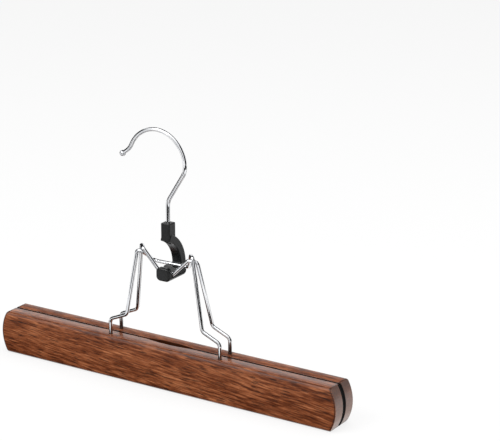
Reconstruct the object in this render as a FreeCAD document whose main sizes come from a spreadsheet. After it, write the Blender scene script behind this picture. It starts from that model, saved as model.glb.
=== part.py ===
import FreeCAD, Part
import math
import os
import Sketcher

# Wooden clamp hanger: two wooden jaws with felt linings hang on two bent wires that cross at a hinge line.
# A plastic cam lever spreads the wires below that line, which presses the jaws together.
# X runs along the jaws, Y from front to rear, Z up. The origin is under the middle of the jaws.

doc = FreeCAD.newDocument("clamp_hanger")
sheet = doc.addObject("Spreadsheet::Sheet", "Sheet")

# Driving dimensions in millimetres
dimensions = [
    # wooden jaws
    ("jaw_length", 300.0),
    ("jaw_height", 33.0),
    ("jaw_thick", 11.6),
    ("end_bulge", 4.8),
    ("edge_round", 2.2),
    ("end_round", 0.8),
    ("mouth_gap", 2.0),
    ("cut_over", 1.0),
    ("relief_half", 20.0),
    ("relief_depth", 1.8),
    # felt linings
    ("felt_thick", 2.0),
    ("felt_proud", 0.8),
    ("felt_low_margin", 0.4),
    ("felt_top_margin", 0.4),
    ("felt_start", 26.0),
    # bent wires
    ("wire_dia", 2.8),
    ("fit_gap", 0.05),
    ("run_gap", 0.3),
    ("foot_reach", 49.1),
    ("foot_depth", 18.0),
    ("stub_rise", 12.0),
    ("jog_reach", 33.8),
    ("jog_rise", 6.5),
    ("leg_rise", 50.5),
    ("apex_reach", 26.8),
    ("hinge_front", 2.0),
    ("wire_bend", 4.0),
    ("pin_bend", 2.0),
    ("front_pin", 4.6),
    ("rear_pin", 8.0),
    ("crown_out", 25.0),
    ("crown_in", 19.8),
    ("crown_back", 3.3),
    ("crown_front", 1.9),
    ("crown_rise", 4.3),
    ("crown_dip", 0.9),
    ("crown_bend", 2.2),
    ("bar_left", 20.0),
    ("bar_right", 11.5),
    ("bar_back", 11.8),
    ("bar_drop", 10.0),
    ("vee_front", 1.0),
    ("vee_drop", 13.5),
    ("vee_reach", 5.0),
    # cam lever
    ("scoop_width", 12.0),
    ("scoop_floor", 2.8),
    ("nose_thick", 3.6),
    ("nose_rise", 5.8),
    ("seat_gap", 0.1),
    ("arm_width", 8.5),
    ("arm_radius", 23.0),
    ("arm_thick", 6.0),
    ("block_size", 7.8),
    ("block_height", 13.6),
    ("scoop_round", 3.5),
    ("nose_round", 1.5),
    ("heel_round", 4.0),
    ("lever_round", 0.7),
    # swivel hook
    ("hook_wire", 3.0),
    ("hook_radius", 24.6),
    ("hook_offset", 9.25),
    ("neck_rise", 16.0),
    ("neck_lean_deg", 32.3),
    ("neck_bend", 12.0),
    ("upper_bend", 13.5),
    ("tip_turn_deg", 155.0),
    ("tip_run", 3.5),
    ("tip_reach", 8.2),
    ("tip_flare_deg", 54.0),
    ("ball_dia", 4.6),
    ("head_dia", 4.8),
    ("head_thick", 1.5),
    ("swivel_gap", 0.1),
]
for row, (name, size) in enumerate(dimensions, start=1):
    sheet.set("A%d" % row, name)
    sheet.set("B%d" % row, str(size))
    sheet.setAlias("B%d" % row, name)
doc.recompute()


def s(expression):
    """Write an expression with the sheet's name in front of each dimension."""
    words = []
    for word in expression.split(" "):
        known = any(word == name for name, size in dimensions)
        words.append("Sheet." + word if known else word)
    return " ".join(words)


def value(expression):
    return float(sheet.evalExpression(s(expression)))


# Places worked out from the driving dimensions
end_radius = "( ( ( jaw_height / 2 ) ^ 2 + end_bulge ^ 2 ) / ( 2 * end_bulge ) )"
corner_x = "( jaw_length / 2 - end_bulge )"
end_centre = "( jaw_length / 2 - " + end_radius + " )"
wire_y = "( mouth_gap / 2 + jaw_thick / 2 )"
hinge_z = "( jaw_height + stub_rise + jog_rise + leg_rise )"
bar_y = "( bar_back - hinge_front )"
bar_z = "( " + hinge_z + " - bar_drop )"
vee_y = "( - hinge_front - vee_front )"
vee_z = "( " + hinge_z + " - vee_drop )"
seat_radius = "( wire_dia / 2 + seat_gap )"
slot_radius = "( wire_dia / 2 + run_gap )"
bed_z = "( " + bar_z + " + " + seat_radius + " / 3 )"
arm_y = "( " + bar_y + " + " + seat_radius + " / 2 - arm_radius )"
arm_z = bed_z
arm_outer = "( arm_radius + arm_thick )"
block_z = "( " + arm_z + " + sqrt( arm_radius ^ 2 - ( block_size / 2 + " + arm_y + " ) ^ 2 ) )"
block_top = "( " + block_z + " + block_height )"
head_z = "( " + block_z + " + head_thick )"


def bind(obj, **formulas):
    """Tie properties of an object to the sheet. Underscores stand for the dots in a property's path."""
    for path, formula in formulas.items():
        obj.setExpression(path.replace("_", "."), s(formula))
    return obj


def place(obj, x="0", y="0", z="0"):
    return bind(obj, Placement_Base_x=x, Placement_Base_y=y, Placement_Base_z=z)


def box(name, length, width, height, x, y, z):
    obj = bind(doc.addObject("Part::Box", name), Length=length, Width=width, Height=height)
    return place(obj, x, y, z)


def cylinder(name, radius, height, x, y, z, direction="Z"):
    obj = bind(doc.addObject("Part::Cylinder", name), Radius=radius, Height=height)
    if direction == "X":
        # the cylinder's own X, Y and Z lie along the hanger's Y, Z and X
        obj.Placement.Rotation = FreeCAD.Rotation(FreeCAD.Vector(1, 1, 1), 120)
    return place(obj, x, y, z)


def fuse(name, shapes):
    obj = doc.addObject("Part::MultiFuse", name)
    obj.Shapes = shapes
    obj.Refine = True
    return obj


def cut(name, base, tool):
    obj = doc.addObject("Part::Cut", name)
    obj.Base = base
    obj.Tool = tool
    return obj


def profile(body, plane, corners, arcs=()):
    """Draw a closed outline through corners given as formulas, counterclockwise.

    arcs maps the number of a corner to (radius, inward) where the side after that corner is an arc.
    """
    sketch = body.newObject("Sketcher::SketchObject", body.Name + "_outline")
    origin = [f for f in body.Origin.OriginFeatures if f.Role == plane][0]
    sketch.AttachmentSupport = [(origin, "")]
    sketch.MapMode = "FlatFace"
    arcs = dict(arcs)
    points = [FreeCAD.Vector(value(a), value(b), 0) for a, b in corners]
    starts = []
    ends = []
    for i, first in enumerate(points):
        last = points[(i + 1) % len(points)]
        if i in arcs:
            radius, inward = arcs[i]
            size = value(radius)
            chord = last - first
            side = FreeCAD.Vector(chord.y, -chord.x, 0).normalize()
            rise = size - math.sqrt(max(size ** 2 - (chord.Length / 2) ** 2, 0))
            middle = (first + last) / 2 + side * (-rise if inward else rise)
            geo = sketch.addGeometry(Part.Arc(first, middle, last))
            starts.append((geo, 2 if inward else 1))
            ends.append((geo, 1 if inward else 2))
        else:
            geo = sketch.addGeometry(Part.LineSegment(first, last))
            starts.append((geo, 1))
            ends.append((geo, 2))
    for i in range(len(points)):
        sketch.addConstraint(Sketcher.Constraint("Coincident", *ends[i - 1], *starts[i]))
    for i, (a, b) in enumerate(corners):
        for kind, formula, size in (("DistanceX", a, points[i].x), ("DistanceY", b, points[i].y)):
            number = sketch.addConstraint(Sketcher.Constraint(kind, -1, 1, *starts[i], size))
            sketch.setExpression("Constraints[%d]" % number, s(formula))
    for i, (radius, inward) in arcs.items():
        if inward:
            # a half circle: its centre lies level with its two ends
            height = Sketcher.Constraint("DistanceY", -1, 1, starts[i][0], 3, points[i].y)
            number = sketch.addConstraint(height)
            sketch.setExpression("Constraints[%d]" % number, s(corners[i][1]))
        else:
            number = sketch.addConstraint(Sketcher.Constraint("Radius", starts[i][0], value(radius)))
            sketch.setExpression("Constraints[%d]" % number, s(radius))
    return sketch


def pad(body, sketch, length, reverse=False):
    feature = body.newObject("PartDesign::Pad", body.Name + "_pad")
    feature.Profile = sketch
    feature.Reversed = reverse
    bind(feature, Length=length)
    doc.recompute()
    return feature


def fillet_edges(name, base, radius, wanted):
    """Round the edges of an object that pass a test."""
    doc.recompute()
    obj = doc.addObject("Part::Fillet", name)
    obj.Base = base
    size = value(radius)
    numbers = [i for i, edge in enumerate(base.Shape.Edges, start=1) if wanted(edge)]
    obj.Edges = [(i, size, size) for i in numbers]
    doc.recompute()
    return obj


parts = {}


def keep(obj, label):
    obj.Label = label
    parts[label] = obj
    return obj


# Wooden jaws: each is built with its inner face on the XZ plane and its outer face towards +Y,
# then set at the rear, or turned half round and set at the front.
def set_on_side(obj, side):
    if side < 0:
        obj.Placement.Rotation = FreeCAD.Rotation(FreeCAD.Vector(0, 0, 1), 180)
    sign = "- " if side < 0 else ""
    return place(obj, "0", sign + "mouth_gap / 2")


def make_jaw(label, side):
    body = doc.addObject("PartDesign::Body", label + "_blank")
    outline = profile(
        body,
        "XZ_Plane",
        [
            ("- " + corner_x, "0"),
            (corner_x, "0"),
            (corner_x, "jaw_height"),
            ("- " + corner_x, "jaw_height"),
        ],
        {1: (end_radius, False), 3: (end_radius, False)},
    )
    pad(body, outline, "jaw_thick", reverse=True)
    face_y = value("jaw_thick")
    half_length = value("jaw_length / 2")

    def on_outer_face(edge):
        return abs(edge.BoundBox.YMin - face_y) < 0.01 and edge.BoundBox.YLength < 0.01

    def long_edge(edge):
        return on_outer_face(edge) and edge.BoundBox.XLength > half_length

    def end_edge(edge):
        return on_outer_face(edge) and edge.BoundBox.XLength < half_length

    rounded = fillet_edges(label + "_rounded", body, "edge_round", long_edge)
    rounded = fillet_edges(label + "_eased", rounded, "end_round", end_edge)
    tools = []
    for sign, end in ((-1, "left"), (1, "right")):
        x_low = "felt_start" if sign > 0 else "- jaw_length / 2 - felt_start"
        tools.append(
            box(
                label + "_recess_" + end,
                "jaw_length / 2",
                "felt_thick - felt_proud + cut_over",
                "jaw_height - felt_low_margin - felt_top_margin",
                x_low,
                "- cut_over",
                "felt_low_margin",
            )
        )
        tools.append(
            cylinder(
                label + "_hole_" + end,
                "wire_dia / 2 + fit_gap",
                "foot_depth + cut_over",
                "%d * foot_reach" % sign,
                "jaw_thick / 2",
                "jaw_height - foot_depth",
            )
        )
    relief_radius = "( ( relief_half ^ 2 + relief_depth ^ 2 ) / ( 2 * relief_depth ) )"
    tools.append(
        cylinder(
            label + "_relief",
            relief_radius,
            "jaw_height + 2 * cut_over",
            "0",
            "relief_depth - " + relief_radius,
            "- cut_over",
        )
    )
    jaw = cut(label, rounded, fuse(label + "_cuts", tools))
    return keep(set_on_side(jaw, side), label)


# Felt strips: they sit in the recesses at both ends of each jaw and follow the round of its end.
def make_felt(label, side, sign):
    body = doc.addObject("PartDesign::Body", label)
    top = "( jaw_height - felt_top_margin )"
    ends = []
    for height in ("felt_low_margin", top):
        rise = "( " + height + " - jaw_height / 2 )"
        ends.append("( " + end_centre + " + sqrt( " + end_radius + " ^ 2 - " + rise + " ^ 2 ) )")
    if sign > 0:
        corners = [
            ("felt_start", "felt_low_margin"),
            (ends[0], "felt_low_margin"),
            (ends[1], top),
            ("felt_start", top),
        ]
        arc_side = 1
    else:
        corners = [
            ("- " + ends[0], "felt_low_margin"),
            ("- felt_start", "felt_low_margin"),
            ("- felt_start", top),
            ("- " + ends[1], top),
        ]
        arc_side = 3
    outline = profile(body, "XZ_Plane", corners, {arc_side: (end_radius, False)})
    pad(body, outline, "felt_thick", reverse=True)
    set_on_side(body, side)
    sign_y = "- " if side < 0 else ""
    body.setExpression("Placement.Base.y", s(sign_y + "( mouth_gap / 2 - felt_proud )"))
    return keep(body, label)


# Bent wires: straight runs joined by tangent arcs. Where two bends meet, each takes this share of its full
# round, which leaves a short straight run between them.
bend_share = 0.95


def bent_path(points):
    """Join points (x, y, z, bend radius) into one wire path."""
    places = [FreeCAD.Vector(*p[:3]) for p in points]
    edges = []
    start = places[0]
    for i in range(1, len(points) - 1):
        back = (places[i - 1] - places[i]).normalize()
        on = (places[i + 1] - places[i]).normalize()
        half = back.getAngle(on) / 2
        length = points[i][3] / math.tan(half)
        first = places[i] + back * length
        last = places[i] + on * length
        centre = places[i] + (back + on).normalize() * (points[i][3] / math.sin(half))
        middle = centre + (places[i] - centre).normalize() * points[i][3]
        if (first - start).Length > 1e-6:
            edges.append(Part.LineSegment(start, first).toShape())
        edges.append(Part.Arc(first, middle, last).toShape())
        start = last
    edges.append(Part.LineSegment(start, places[-1]).toShape())
    return Part.Wire(edges)


def swept_wire(name, path, diameter):
    """Sweep a round section along a path that starts straight up or down."""
    spine = doc.addObject("Part::Feature", name + "_path")
    spine.Shape = path
    section = bind(doc.addObject("Part::Circle", name + "_section"), Radius=diameter + " / 2")
    section.Placement.Base = path.OrderedVertexes[0].Point
    sweep = doc.addObject("Part::Sweep", name + "_wire")
    sweep.Sections = [section]
    sweep.Spine = (spine, ["Edge%d" % (i + 1) for i in range(len(path.Edges))])
    sweep.Solid = True
    sweep.Frenet = False
    doc.recompute()
    expected = path.Length * math.pi * value(diameter) ** 2 / 4
    if abs(sweep.Shape.Volume / expected - 1) > 0.01:
        raise RuntimeError(name + ": the swept volume differs from section times length")
    return sweep


# Where the wires cross, each has a straight pin on the hinge line at one side, and at the other a crown
# that passes aslant over the other wire's pin.
hinge = (value("- hinge_front"), value(hinge_z))
apex = value("apex_reach")
bend = value("wire_bend")
pin_bend = value("pin_bend")


def pin_points(sign, run):
    """The corner at the top of a leg, and the end of the pin that starts there."""
    inner = apex - value(run)
    return [(sign * apex, *hinge, pin_bend), (sign * inner, *hinge, pin_bend)]


def crown_points(sign):
    """The two corners of a crown, the outer one at the top of its leg."""
    top = hinge[1] + value("crown_rise")
    crown_bend = value("crown_bend")
    outer_y = hinge[0] - sign * value("crown_back")
    inner_y = hinge[0] + sign * value("crown_front")
    outer = (sign * value("crown_out"), outer_y, top, crown_bend)
    inner = (sign * value("crown_in"), inner_y, top - value("crown_dip"), crown_bend)
    return [outer, inner]


def foot_points(side, sign):
    """From the foot in the wood up the stub, along the jog and to the start of the leg."""
    y = side * value(wire_y)
    top = value("jaw_height")
    stub = top + value("stub_rise")
    return [
        (sign * value("foot_reach"), y, top - value("foot_depth"), 0),
        (sign * value("foot_reach"), y, stub, bend),
        (sign * value("jog_reach"), y, stub + value("jog_rise"), bend),
    ]


def make_front_wire():
    bar = (value(bar_y), value(bar_z))
    points = foot_points(-1, -1) + pin_points(-1, "front_pin")
    points.append((-value("bar_left"), *bar, bend))
    points.append((value("bar_right"), *bar, bend))
    points += reversed(crown_points(1))
    points += reversed(foot_points(-1, 1))
    wire = swept_wire("front_wire_frame", bent_path(points), "wire_dia")
    return keep(wire, "front_wire_frame")


def make_rear_wire():
    vee = (value(vee_y), value(vee_z))
    points = foot_points(1, -1) + crown_points(-1)
    points.append((-value("vee_reach"), *vee, bend))
    points.append((value("vee_reach"), *vee, bend))
    points += reversed(pin_points(1, "rear_pin"))
    points += reversed(foot_points(1, 1))
    wire = swept_wire("rear_wire_frame", bent_path(points), "wire_dia")
    return keep(wire, "rear_wire_frame")


# Cam lever: socket block, curved arm and scoop in one piece
def make_lever():
    block = box("lever_block", "block_size", "block_size", "block_height",
                "- block_size / 2", "- block_size / 2", block_z)
    reach = "( - block_size / 2 - " + arm_y + " )"
    sweep_angle = "acos( " + reach + " / arm_radius )"
    outer = cylinder("lever_arm_outer", arm_outer, "arm_width", "- arm_width / 2", arm_y, arm_z, "X")
    bind(outer, Angle=sweep_angle)
    wider = "arm_width + 2 * cut_over"
    inner = cylinder("lever_arm_inner", "arm_radius", wider, "- ( " + wider + " ) / 2", arm_y, arm_z, "X")
    arm = cut("lever_arm", outer, inner)

    body = doc.addObject("PartDesign::Body", "lever_scoop")
    slot_front = "( " + vee_y + " - " + slot_radius + " )"
    slot_rear = "( " + vee_y + " + " + slot_radius + " )"
    bottom = "( " + vee_z + " - " + slot_radius + " - scoop_floor )"
    rear = "( " + arm_y + " + " + arm_outer + " )"
    ramp = "( " + slot_rear + " + " + bed_z + " - " + vee_z + " )"
    nose_front = "( " + slot_front + " - nose_thick )"
    nose_top = "( " + vee_z + " + nose_rise )"
    outline = profile(
        body,
        "YZ_Plane",
        [
            (nose_front, bottom),
            ("( " + rear + " - heel_round )", bottom),
            (rear, "( " + bottom + " + heel_round )"),
            (rear, bed_z),
            (ramp, bed_z),
            (slot_rear, vee_z),
            (slot_front, vee_z),
            (slot_front, nose_top),
            (nose_front, nose_top),
        ],
        {1: ("heel_round", False), 5: (slot_radius, True)},
    )
    pad(body, outline, "scoop_width")
    place(body, "- scoop_width / 2")
    front_y = value(nose_front)
    levels = (value(bottom), value(nose_top))

    def lengthwise(edge):
        ends = edge.BoundBox
        level = any(abs(ends.ZMin - z) < 0.01 and abs(ends.ZMax - z) < 0.01 for z in levels)
        return level and ends.XLength < 0.01

    def around_front(edge):
        ends = edge.BoundBox
        return abs(ends.YMin - front_y) < 0.01 and ends.YLength < 0.01

    scoop = fillet_edges("lever_scoop_sides", body, "scoop_round", lengthwise)
    scoop = fillet_edges("lever_scoop_front", scoop, "nose_round", around_front)
    bottom_of_block = value(block_z)

    def above_arm(edge):
        return edge.BoundBox.ZMax > bottom_of_block + 0.01

    def along_arm(edge):
        return edge.Curve.TypeId == "Part::GeomCircle"

    block = fillet_edges("lever_block_rounded", block, "lever_round", above_arm)
    arm = fillet_edges("lever_arm_rounded", arm, "lever_round", along_arm)
    lump = fuse("lever_lump", [block, arm, scoop])
    across = "scoop_width + 2 * cut_over"
    tools = [
        cylinder("lever_seat", seat_radius, across, "- ( " + across + " ) / 2", bar_y, bar_z, "X"),
        cylinder("lever_bore", "hook_wire / 2 + swivel_gap", "block_height + cut_over", "0", "0", block_z),
        cylinder("lever_counterbore", "head_dia / 2 + run_gap", "arm_thick + head_thick + run_gap",
                 "0", "0", head_z + " - arm_thick"),
    ]
    lever = cut("cam_lever", lump, fuse("lever_cuts", tools))
    return keep(lever, "cam_lever")


# Swivel hook: shank with an upset head, leaning neck, round bend and a flared tip with a ball
def make_hook():
    radius = value("hook_radius")
    lean = math.radians(value("neck_lean_deg"))
    top = value(block_top)
    side = radius - value("hook_offset")
    knee = top + value("neck_rise")
    shoulder = knee + side / math.tan(lean)
    neck_end = bent_path(
        [
            (0, 0, value(head_z), 0),
            (0, 0, knee, value("neck_bend")),
            (side, 0, shoulder, value("upper_bend")),
            (side, 0, shoulder + radius, 0),
        ]
    )
    # the last straight run stops where the shoulder's arc ends, and the round bend goes on from there
    edges = neck_end.Edges[:-1]
    begin = edges[-1].Vertexes[-1].Point
    centre = FreeCAD.Vector(side - radius, 0, begin.z)

    def on_ring(degrees):
        angle = math.radians(degrees)
        return centre + FreeCAD.Vector(radius * math.cos(angle), 0, radius * math.sin(angle))

    turn = value("tip_turn_deg")
    edges.append(Part.Arc(on_ring(0), on_ring(turn / 2), on_ring(turn)).toShape())
    down = math.radians(turn + 90)
    heading = FreeCAD.Vector(math.cos(down), 0, math.sin(down))
    flare = math.radians(value("tip_flare_deg"))
    corner = on_ring(turn) + heading * value("tip_run")
    ball = corner + FreeCAD.Vector(-math.sin(flare), 0, -math.cos(flare)) * value("tip_reach")
    tip_angle = heading.getAngle(ball - corner)
    tip_bend = value("tip_run") / math.tan(tip_angle / 2)
    start = on_ring(turn)
    tip = bent_path([(*start, 0), (*corner, bend_share * tip_bend), (*ball, 0)])
    edges += tip.Edges
    shank = swept_wire("swivel_hook", Part.Wire(edges), "hook_wire")
    head = cylinder("hook_head", "head_dia / 2", "head_thick", "0", "0", head_z + " - head_thick")
    knob = bind(doc.addObject("Part::Sphere", "hook_ball"), Radius="ball_dia / 2")
    knob.Placement.Base = ball
    return keep(fuse("swivel_hook", [shank, head, knob]), "swivel_hook")


make_jaw("front_jaw", -1)
make_jaw("rear_jaw", 1)
# a front strip is turned half round with its jaw, so its own +X end comes to lie on the left
make_felt("front_felt_left", -1, 1)
make_felt("front_felt_right", -1, -1)
make_felt("rear_felt_left", 1, -1)
make_felt("rear_felt_right", 1, 1)
make_front_wire()
make_rear_wire()
make_lever()
make_hook()
doc.recompute()

for obj in doc.Objects:
    if "Invalid" in obj.State or "Error" in obj.State:
        raise RuntimeError(obj.Label + " failed to build")
for label, obj in parts.items():
    if obj.Shape.isNull() or not obj.Shape.isValid() or len(obj.Shape.Solids) != 1:
        raise RuntimeError(label + " is not one valid solid")

os.makedirs("parts", exist_ok=True)
for label, obj in parts.items():
    obj.Shape.exportStep("parts/" + label + ".step")
    print(label, round(obj.Shape.Volume, 1))
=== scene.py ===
import math
import bpy
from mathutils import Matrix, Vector


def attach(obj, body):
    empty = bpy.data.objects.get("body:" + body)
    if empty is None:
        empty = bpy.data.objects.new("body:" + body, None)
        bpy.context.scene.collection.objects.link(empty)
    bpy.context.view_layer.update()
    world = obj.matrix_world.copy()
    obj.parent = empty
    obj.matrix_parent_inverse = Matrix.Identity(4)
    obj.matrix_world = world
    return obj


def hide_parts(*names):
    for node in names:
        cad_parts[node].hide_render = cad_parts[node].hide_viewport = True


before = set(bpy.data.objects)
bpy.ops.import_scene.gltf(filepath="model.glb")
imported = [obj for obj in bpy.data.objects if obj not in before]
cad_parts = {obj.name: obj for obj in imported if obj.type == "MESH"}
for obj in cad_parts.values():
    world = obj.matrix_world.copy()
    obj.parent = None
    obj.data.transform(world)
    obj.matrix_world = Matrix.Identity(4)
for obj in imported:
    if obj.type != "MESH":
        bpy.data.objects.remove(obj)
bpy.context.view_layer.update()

scene = bpy.context.scene
scene.view_settings.view_transform = "Standard"
print("frame loaded:", len(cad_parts), "nodes")


# one output on its way through a node tree
class Strand:
    def __init__(self, tree, out=None):
        self.tree = tree
        self.out = out

    # any node: type, settings, then values or links of its inputs by name or number
    def node(self, kind, setup=None, feed=None, take=0):
        made = self.tree.nodes.new(kind)
        for key, value in (setup or {}).items():
            if key == "stops":
                ramp = made.color_ramp
                while len(ramp.elements) < len(value):
                    ramp.elements.new(0.5)
                for stop, (at, tone) in zip(ramp.elements, value):
                    stop.position = at
                    stop.color = tone
            else:
                setattr(made, key, value)
        for key, value in (feed or {}).items():
            if isinstance(value, Strand):
                self.tree.links.new(value.out, made.inputs[key])
            else:
                made.inputs[key].default_value = value
        return Strand(self.tree, made.outputs[take] if len(made.outputs) else None)

    def also(self, name):  # another output of the same node
        return Strand(self.tree, self.out.node.outputs[name])

    def axis(self, name):  # one part of a vector
        return self.node("ShaderNodeSeparateXYZ", None, {0: self}, take=name)

    def math(self, operation, a, b=0.0, clamp=False):
        setup = {"operation": operation, "use_clamp": clamp}
        return self.node("ShaderNodeMath", setup, {0: a, 1: b})

    def __add__(self, other):
        return self.math("ADD", self, other)

    def __radd__(self, other):
        return self.math("ADD", other, self)

    def __sub__(self, other):
        return self.math("SUBTRACT", self, other)

    def __rsub__(self, other):
        return self.math("SUBTRACT", other, self)

    def __mul__(self, other):
        return self.math("MULTIPLY", self, other)

    def __rmul__(self, other):
        return self.math("MULTIPLY", other, self)

    def size(self):
        return self.math("ABSOLUTE", self)

    def root(self):
        return self.math("SQRT", self)

    # 0 below low, 1 above high, soft between
    def ramp(self, low, high):
        feed = {"Value": self, "From Min": low, "From Max": high}
        return self.node("ShaderNodeMapRange", {"interpolation_type": "SMOOTHSTEP"}, feed)

    # noise with so many waves to the metre along each axis
    def noise(self, waves, detail=2.0, rough=0.5, warp=0.0):
        drawn = self.node("ShaderNodeVectorMath", {"operation": "MULTIPLY"}, {0: self, 1: waves})
        feed = {"Vector": drawn, "Scale": 1.0, "Detail": detail}
        feed.update({"Roughness": rough, "Distortion": warp})
        return self.node("ShaderNodeTexNoise", None, feed)

    def tones(self, stops):
        setup = {"stops": [(at, paint(tone)) for at, tone in stops]}
        return self.node("ShaderNodeValToRGB", setup, {0: self})

    # colour a turns into colour b where this value is 1
    def blend(self, a, b):
        feed = {0: self}
        for socket, tone in ((6, a), (7, b)):
            feed[socket] = tone if isinstance(tone, Strand) else paint(tone)
        return self.node("ShaderNodeMix", {"data_type": "RGBA"}, feed, take=2)

    # this value as a height, on top of another bump if there is one
    def bump(self, strength, depth, under=None):
        feed = {"Strength": strength, "Distance": depth, "Height": self}
        if under is not None:
            feed["Normal"] = under
        return self.node("ShaderNodeBump", None, feed)


def paint(tone):  # screen values 0 to 255
    linear = []
    for part in tone:
        part = part / 255
        linear.append(part / 12.92 if part <= 0.04045 else ((part + 0.055) / 1.055) ** 2.4)
    return (*linear, 1.0)


def newFinish(name):
    finish = bpy.data.materials.new(name)
    finish.use_nodes = True
    finish.node_tree.nodes.clear()
    place = Strand(finish.node_tree).node("ShaderNodeTexCoord", take="Object")
    return finish, place


def closeFinish(place, values):
    shader = place.node("ShaderNodeBsdfPrincipled", None, values)
    place.node("ShaderNodeOutputMaterial", None, {"Surface": shader})


def dress(finish, names):
    for name in names:
        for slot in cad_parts[name].material_slots:
            slot.material = finish


# camera: degrees, metres, millimetres of lens
shot = {
    "azimuth": 32.45,
    "elevation": 17.675,
    "target": (0.070783, 0.0, 0.141038),
    "distance": 1.41015,
    "lens": 143.26,
    "sensor": 36,
}


def makeCamera():
    turn = math.radians(shot["azimuth"])
    rise = math.radians(shot["elevation"])
    away = Vector(
        (math.sin(turn) * math.cos(rise), -math.cos(turn) * math.cos(rise), math.sin(rise))
    )
    spot = Vector(shot["target"]) + away * shot["distance"]
    bpy.ops.object.select_all(action="DESELECT")
    bpy.ops.object.camera_add(location=spot, rotation=(math.pi / 2 - rise, 0, turn))
    camera = bpy.context.object
    camera.name = "photoCamera"
    camera.data.lens = shot["lens"]
    camera.data.sensor_width = shot["sensor"]
    scene.camera = camera


makeCamera()
print("camera set")

# lacquered walnut, grain along X
walnut = {
    "tones": [
        (0.26, (62, 23, 4)),
        (0.4, (96, 43, 13)),
        (0.5, (124, 64, 30)),
        (0.61, (153, 88, 50)),
        (0.76, (188, 120, 77)),
    ],
    # stain of the pores, also the colour of the painted shade on the rim, holes, foot, inner faces,
    # tops and edges
    "stainAndShade": (44, 19, 9),
    "slant": 0.07,
    "sway": {"waves": (9, 30, 30)},
    "swayUp": 0.006,
    "swayAcross": 0.003,
    "streak": {"waves": (48, 700, 800), "detail": 3, "rough": 0.6},
    "fine": {"waves": (110, 1500, 1700), "rough": 0.6},
    "broad": {"waves": (12, 100, 110)},
    "figure": {"waves": (60, 45, 50)},
    "shares": {"streak": 0.85, "fine": 0.55, "broad": 0.3, "figure": 0.14, "base": -0.42},
    "pore": {"waves": (95, 1000, 1150), "detail": 1},
    "poreSpan": (0.57, 0.68),
    "poreStain": 0.75,
    "poreDepth": 0.8,
    "bump": (0.14, 0.0002),
    "gloss": 0.26,
    "glossGrain": 0.08,
    "coat": 0.15,
    "coatGloss": 0.12,
    "index": 1.5,
    "end": {
        # low: the end grain's lower tone, greyer partly by a painted sheen; high: painted shade
        # towards the top
        "low": (134, 117, 109),
        "high": (84, 69, 64),
        "heights": (0.005, 0.026),
        "dots": {"waves": (300, 900, 900)},
        "dotShare": 0.5,
        "facing": (0.72, 0.86),
    },
    # a painted shade line along the arc of the jaw's end
    "rim": {
        "centre": 0.11924,
        "middle": 0.0165,
        "radius": 0.03076,
        "width": (0.0007, 0.0016),
        "facing": (0.55, 0.75),
        "share": 0.8,
    },
    # painted shade round the holes where the wires go in
    "holeShade": {"x": 0.0491, "y": 0.0068, "ring": (0.0014, 0.0024), "share": 0.6},
    # painted shade along the foot of the jaws
    "foot": {"heights": (0.0004, 0.003), "share": 0.55},
    # painted shade on the faces between the jaws
    "inner": {"span": (0.0004, 0.0008), "share": 0.85},
    # painted shade on the tops and, with duller lacquer, on the rounded edges
    "top": {"facing": (0.85, 0.97), "share": 0.12},
    "arris": {"facing": (0.25, 0.5), "share": 0.35, "dulling": 0.2},
    "sheen": {"crest": 0.00825, "lean": 0.00125, "crown": 19.0},
}


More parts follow.
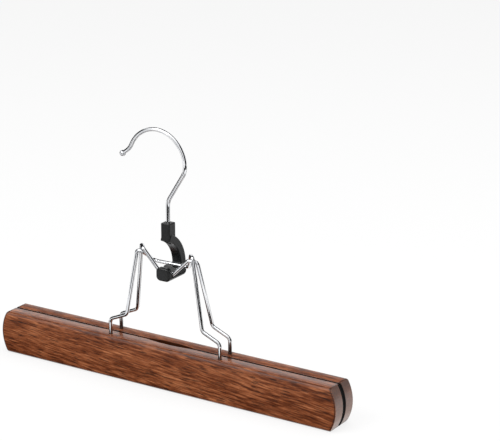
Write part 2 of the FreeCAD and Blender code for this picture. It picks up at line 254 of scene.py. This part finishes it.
def makeWalnut():
    finish, place = newFinish("lacquered_walnut")
    x, y, z = (place.axis(name) for name in "XYZ")
    # the grain leaves the face at a slight slant
    sway = place.noise(**walnut["sway"]) - 0.5
    drop = x * walnut["slant"] + sway * walnut["swayUp"]
    lift = place.node("ShaderNodeCombineXYZ", None, {"Y": sway * walnut["swayAcross"], "Z": drop})
    bent = place.node("ShaderNodeVectorMath", {"operation": "ADD"}, {0: place, 1: lift})
    broad = bent.noise(**walnut["broad"])
    streak = bent.noise(**walnut["streak"])
    fine = bent.noise(**walnut["fine"])
    figure = place.noise(**walnut["figure"])
    share = walnut["shares"]
    tone = streak * share["streak"] + fine * share["fine"]
    tone = tone + broad * share["broad"] + figure * share["figure"] + share["base"]
    wood = tone.tones(walnut["tones"])
    pore = bent.noise(**walnut["pore"]).ramp(*walnut["poreSpan"])
    wood = (pore * walnut["poreStain"]).blend(wood, walnut["stainAndShade"])

    # end grain: greyer and dotted, its grey partly a painted sheen; painted shade darkens it
    # towards the top, and a painted shade line runs round its rim
    end, rim = walnut["end"], walnut["rim"]
    normal = place.node("ShaderNodeNewGeometry", take="Normal")
    endwise = normal.axis("X").size()
    ending = z.ramp(*end["heights"]).blend(end["low"], end["high"])
    ending = (place.noise(**end["dots"]) * end["dotShare"]).blend(ending, wood)
    wood = endwise.ramp(*end["facing"]).blend(wood, ending)
    # painted shade line round the arc of the end
    inset = place.math("MAXIMUM", x.size() - rim["centre"], 0.0)
    climb = z - rim["middle"]
    edge = rim["radius"] - (inset * inset + climb * climb).root()
    line = (1 - edge.ramp(*rim["width"])) * (1 - endwise.ramp(*rim["facing"]))
    wood = (line * rim["share"]).blend(wood, walnut["stainAndShade"])

    # painted shade round the drilled holes where the wires go in, and along the foot
    holeShade, foot, inner = walnut["holeShade"], walnut["foot"], walnut["inner"]
    dx = x.size() - holeShade["x"]
    dy = y.size() - holeShade["y"]
    ring = 1 - (dx * dx + dy * dy).root().ramp(*holeShade["ring"])
    wood = (ring * holeShade["share"]).blend(wood, walnut["stainAndShade"])
    # painted shade along the foot
    wood = ((1 - z.ramp(*foot["heights"])) * foot["share"]).blend(wood, walnut["stainAndShade"])
    # painted shade: the faces that look at each other are darkened nearly to black
    inward = 0 - normal.axis("Y") * y
    wood = (inward.ramp(*inner["span"]) * inner["share"]).blend(wood, walnut["stainAndShade"])
    # painted shade darkens the tops and the rounded edges, and the lacquer is thin on the edges
    top, arris = walnut["top"], walnut["arris"]
    rise = normal.axis("Z")
    upward = rise.ramp(*top["facing"])
    rounded = rise.ramp(*arris["facing"]) * (1 - upward)
    wood = (upward * top["share"] + rounded * arris["share"]).blend(wood, walnut["stainAndShade"])

    # the sheen on the tops fades towards the front
    sheen = walnut["sheen"]
    across = (y - sheen["lean"]).size() - sheen["crest"]
    fade = (across * across * -sheen["crown"]).bump(upward, 1.0)
    closeFinish(
        place,
        {
            "Base Color": wood,
            "Roughness": fine * walnut["glossGrain"] + rounded * arris["dulling"] + walnut["gloss"],
            "IOR": walnut["index"],
            "Normal": (fine - pore * walnut["poreDepth"]).bump(*walnut["bump"], under=fade),
            "Coat Weight": walnut["coat"] - rounded * walnut["coat"],
            "Coat Roughness": walnut["coatGloss"],
        },
    )
    return finish


dress(makeWalnut(), ["front_jaw", "rear_jaw"])
print("jaws finished in lacquered walnut")

# bright chrome on the bent wires
chrome = {
    "bright": (246, 247, 249),
    "dull": (218, 220, 224),
    "dullSpan": (0.35, 0.7),
    "cloud": {"waves": (60, 60, 60), "detail": 3},
    "cloudGloss": 0.05,
    "draw": {"waves": (900, 900, 900)},
    "drawGloss": 0.03,
    "gloss": 0.02,
    "bump": (0.012, 0.0001),
    # dark painted reflection on the feet of the wires
    "paintedReflection": (34, 34, 36),
    "paintedReflectionShare": 0.85,
    "paintedReflectionHeights": (0.037, 0.044),
    "paintedReflectionWander": 0.004,
    "paintedReflectionLean": 0.4,
}


def makeChrome():
    finish, place = newFinish("bright_chrome")
    cloud = place.noise(**chrome["cloud"])
    draw = place.noise(**chrome["draw"])
    plate = cloud.ramp(*chrome["dullSpan"]).blend(chrome["bright"], chrome["dull"])
    # painted reflection: the plating is darkened where the feet go into the wood, higher up on the
    # rear ones
    height = place.axis("Z") + cloud * chrome["paintedReflectionWander"]
    height = height - place.axis("Y") * chrome["paintedReflectionLean"]
    paintedReflection = 1 - height.ramp(*chrome["paintedReflectionHeights"])
    plate = (paintedReflection * chrome["paintedReflectionShare"]).blend(plate, chrome["paintedReflection"])
    haze = cloud * chrome["cloudGloss"] + draw * chrome["drawGloss"]
    closeFinish(
        place,
        {
            "Base Color": plate,
            "Metallic": 1.0,
            "Roughness": haze + chrome["gloss"],
            "Normal": draw.bump(*chrome["bump"]),
        },
    )
    return finish


dress(makeChrome(), ["front_wire_frame", "rear_wire_frame", "swivel_hook"])
print("wires and hook chromed")

# satin black plastic of the lever
plastic = {
    "black": (10, 11, 12),
    "worn": (20, 21, 23),
    "wornSpan": (0.4, 0.75),
    "cloud": {"waves": (120, 120, 120), "detail": 3},
    "cloudGloss": 0.12,
    "spark": {"waves": (4200, 4200, 4200)},
    "sparkGloss": 0.08,
    "gloss": 0.2,
    "seam": (0.00008, 0.00022),
    "seamDepth": 0.8,
    "bump": (0.2, 0.00005),
    "index": 1.5,
    "shine": 0.38,
}


def makePlastic():
    finish, place = newFinish("satin_black_plastic")
    cloud = place.noise(**plastic["cloud"])
    spark = place.noise(**plastic["spark"])
    seam = place.axis("X").size().ramp(*plastic["seam"])  # parting line of the mould
    haze = cloud * plastic["cloudGloss"] + spark * plastic["sparkGloss"]
    closeFinish(
        place,
        {
            "Base Color": cloud.ramp(*plastic["wornSpan"]).blend(plastic["black"], plastic["worn"]),
            "Roughness": haze + plastic["gloss"],
            "IOR": plastic["index"],
            "Specular IOR Level": plastic["shine"],
            "Normal": (spark - seam * plastic["seamDepth"]).bump(*plastic["bump"]),
        },
    )
    return finish


dress(makePlastic(), ["cam_lever"])
print("lever finished in satin black plastic")

# black felt strips, cut from sheet and glued into the jaws
felt = {
    "black": (11, 11, 11),
    "grey": (38, 37, 36),
    "greySpan": (0.38, 0.72),
    "edge": (2, 2, 2),
    "edgeShare": 0.9,
    "flatFacing": (0.5, 0.9),
    "mat": {"waves": (700, 700, 700), "detail": 4, "rough": 0.7, "warp": 2.0},
    "hair": {"waves": (2600, 2600, 900), "detail": 3, "rough": 0.7, "warp": 1.0},
    "matShare": 0.6,
    "hairShare": 0.4,
    "hairDepth": 0.5,
    "bump": (0.7, 0.0004),
    "gloss": 0.88,
    "hairGloss": 0.1,
    "shine": 0.05,
    "bloom": 0.04,
    "bloomGloss": 0.5,
    "weld": 0.00001,
    "cell": 0.0005,
    "soften": (0.5, 3),
    "tuft": 0.0016,
    "tuftDepth": 2,
    "fuzz": 0.00022,
    "flat": (0.124, 0.0322),
    "area": 0.003945,
}


def makeFeltFinish():
    finish, place = newFinish("black_felt")
    mat = place.noise(**felt["mat"])
    hair = place.noise(**felt["hair"])
    nap = mat * felt["matShare"] + hair * felt["hairShare"]
    tone = nap.ramp(*felt["greySpan"]).blend(felt["black"], felt["grey"])
    # the cut edges are darker than the nap
    normal = place.node("ShaderNodeNewGeometry", take="Normal")
    cutEdge = 1 - normal.axis("Y").size().ramp(*felt["flatFacing"])
    tone = (cutEdge * felt["edgeShare"]).blend(tone, felt["edge"])
    closeFinish(
        place,
        {
            "Base Color": tone,
            "Roughness": hair * felt["hairGloss"] + felt["gloss"],
            "Specular IOR Level": felt["shine"],
            "Sheen Weight": felt["bloom"],
            "Sheen Roughness": felt["bloomGloss"],
            "Normal": (mat + hair * felt["hairDepth"]).bump(*felt["bump"]),
        },
    )
    return finish


def makeFelt(nodeName, body, finish):
    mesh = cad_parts[nodeName].data.copy()
    mesh.materials.clear()
    mesh.materials.append(finish)
    strip = bpy.data.objects.new(nodeName + "_pad", mesh)
    scene.collection.objects.link(strip)
    bpy.ops.object.select_all(action="DESELECT")
    strip.select_set(True)
    bpy.context.view_layer.objects.active = strip
    bpy.ops.object.mode_set(mode="EDIT")
    bpy.ops.mesh.select_all(action="SELECT")
    bpy.ops.mesh.remove_doubles(threshold=felt["weld"])
    bpy.ops.object.mode_set(mode="OBJECT")
    mesh.remesh_voxel_size = felt["cell"]
    bpy.ops.object.voxel_remesh()
    soften = strip.modifiers.new("soften", "SMOOTH")
    soften.factor, soften.iterations = felt["soften"]
    bpy.ops.object.modifier_apply(modifier="soften")
    wool = bpy.data.textures.new(nodeName + "_wool", "CLOUDS")
    wool.noise_scale = felt["tuft"]
    wool.noise_depth = felt["tuftDepth"]
    tuft = strip.modifiers.new("tuft", "DISPLACE")
    tuft.texture = wool
    tuft.texture_coords = "LOCAL"
    tuft.mid_level = 0.5
    tuft.strength = felt["fuzz"]
    bpy.ops.object.modifier_apply(modifier="tuft")
    bpy.ops.object.shade_smooth()
    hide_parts(nodeName)
    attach(strip, body)


feltFinish = makeFeltFinish()
for side in ("left", "right"):
    makeFelt("front_felt_" + side, "front_clamp", feltFinish)
    makeFelt("rear_felt_" + side, "rear_clamp", feltFinish)
print("felt strips made")

# studio: pale floor, soft light, flags that only reflections see
studio = {
    "floor": {"tone": (236, 236, 236), "shine": 0.78, "size": 9, "level": -0.0003},
    "white": (1, 1, 1, 1),
    "fill": 0.6,
    "aim": (0, 0, 0.06),
    "lamps": {
        "key": {"spot": (-0.55, -1.0, 1.25), "size": 0.9, "power": 12.0},
        "top": {"spot": (0.25, 0.2, 1.5), "size": 1.2, "power": 9.0},
        "side": {"spot": (1.3, -0.1, 0.6), "size": 0.7, "power": 6.0},
    },
    "flags": {
        "nearFlag": {"low": (-0.32, -0.095, 0.0002), "high": (0.2, -0.0128, 0.0002), "tone": 12},
        "farFlag": {"low": (-0.28, -0.62, 0.0002), "high": (0.32, -0.29, 0.0002), "tone": 12},
        "backFlag": {"low": (-0.8, 0.12, 0.0002), "high": (0.14, 0.8, 0.0002), "tone": 12},
        "rightFlag": {"low": (0.36, -0.62, 0.0002), "high": (0.95, 0.5, 0.0002), "tone": 12},
        "endFlag": {"low": (0.152, -0.02, 0.0002), "high": (0.26, 0.042, 0.0002), "tone": 205},
        "frontFlag": {"low": (-0.6, -1.2, 0.0), "high": (0.35, -1.2, 0.3), "tone": 12},
        "leftFlag": {"low": (-1.0, -0.9, 0.0), "high": (-1.0, 0.55, 0.7), "tone": 12},
        "wallFlag": {"low": (1.0, -0.7, 0.0), "high": (1.0, 1.3, 1.2), "tone": 12},
        "roofFlag": {"low": (-1.8, -0.05, 1.2), "high": (1.0, 1.9, 1.2), "tone": 12},
    },
}


def seenShare(place):  # rays that show the backdrop itself
    rays = place.node("ShaderNodeLightPath", take="Is Camera Ray")
    mirrored = rays + rays.also("Is Glossy Ray")
    return place.math("ADD", mirrored, rays.also("Is Transmission Ray"), clamp=True)


def makeFloor():
    setup = studio["floor"]
    bpy.ops.object.select_all(action="DESELECT")
    bpy.ops.mesh.primitive_plane_add(size=setup["size"], location=(0, 0, setup["level"]))
    floor = bpy.context.object
    floor.name = "floor"
    finish, place = newFinish("pale_floor")
    paper = place.node("ShaderNodeBsdfDiffuse", None, {"Color": paint(setup["tone"])})
    glow = place.node("ShaderNodeEmission", None, {"Color": studio["white"], "Strength": 1.0})
    share = seenShare(place) * setup["shine"]
    mixed = place.node("ShaderNodeMixShader", None, {0: share, 1: paper, 2: glow})
    place.node("ShaderNodeOutputMaterial", None, {"Surface": mixed})
    floor.data.materials.append(finish)


def makeFlag(name):
    setup = studio["flags"][name]
    low, high = Vector(setup["low"]), Vector(setup["high"])
    span = high - low
    turn, across = (0, 0, 0), (span.x, span.y, 1)  # lying flat
    if span.x == 0:  # upright, looking along X
        turn, across = (0, math.pi / 2, 0), (span.z, span.y, 1)
    elif span.y == 0:  # upright, looking along Y
        turn, across = (math.pi / 2, 0, 0), (span.x, span.z, 1)
    bpy.ops.object.select_all(action="DESELECT")
    bpy.ops.mesh.primitive_plane_add(size=1, location=(low + high) / 2, rotation=turn)
    flag = bpy.context.object
    flag.name = name
    flag.scale = across
    bpy.ops.object.transform_apply(location=True, rotation=True, scale=True)
    finish, place = newFinish(name + "_cloth")
    cloth = place.node("ShaderNodeBsdfDiffuse", None, {"Color": paint([setup["tone"]] * 3)})
    place.node("ShaderNodeOutputMaterial", None, {"Surface": cloth})
    flag.data.materials.append(finish)
    flag.visible_camera = False
    flag.visible_diffuse = False
    flag.visible_transmission = False
    flag.visible_shadow = False


def makeWorld():
    world = bpy.data.worlds.new("studio")
    world.use_nodes = True
    world.node_tree.nodes.clear()
    start = Strand(world.node_tree)
    level = seenShare(start) * (1 - studio["fill"]) + studio["fill"]
    sky = start.node("ShaderNodeBackground", None, {"Color": studio["white"], "Strength": level})
    start.node("ShaderNodeOutputWorld", None, {"Surface": sky})
    scene.world = world


def makeLight(name):
    setup = studio["lamps"][name]
    spot = Vector(setup["spot"])
    turn = (Vector(studio["aim"]) - spot).to_track_quat("-Z", "Y").to_euler()
    bpy.ops.object.select_all(action="DESELECT")
    bpy.ops.object.light_add(type="AREA", location=spot, rotation=turn)
    light = bpy.context.object
    light.name = name + "Light"
    light.data.size = setup["size"]
    light.data.energy = setup["power"]


makeFloor()
makeWorld()
for name in studio["flags"]:
    makeFlag(name)
for name in studio["lamps"]:
    makeLight(name)
print("studio lit")
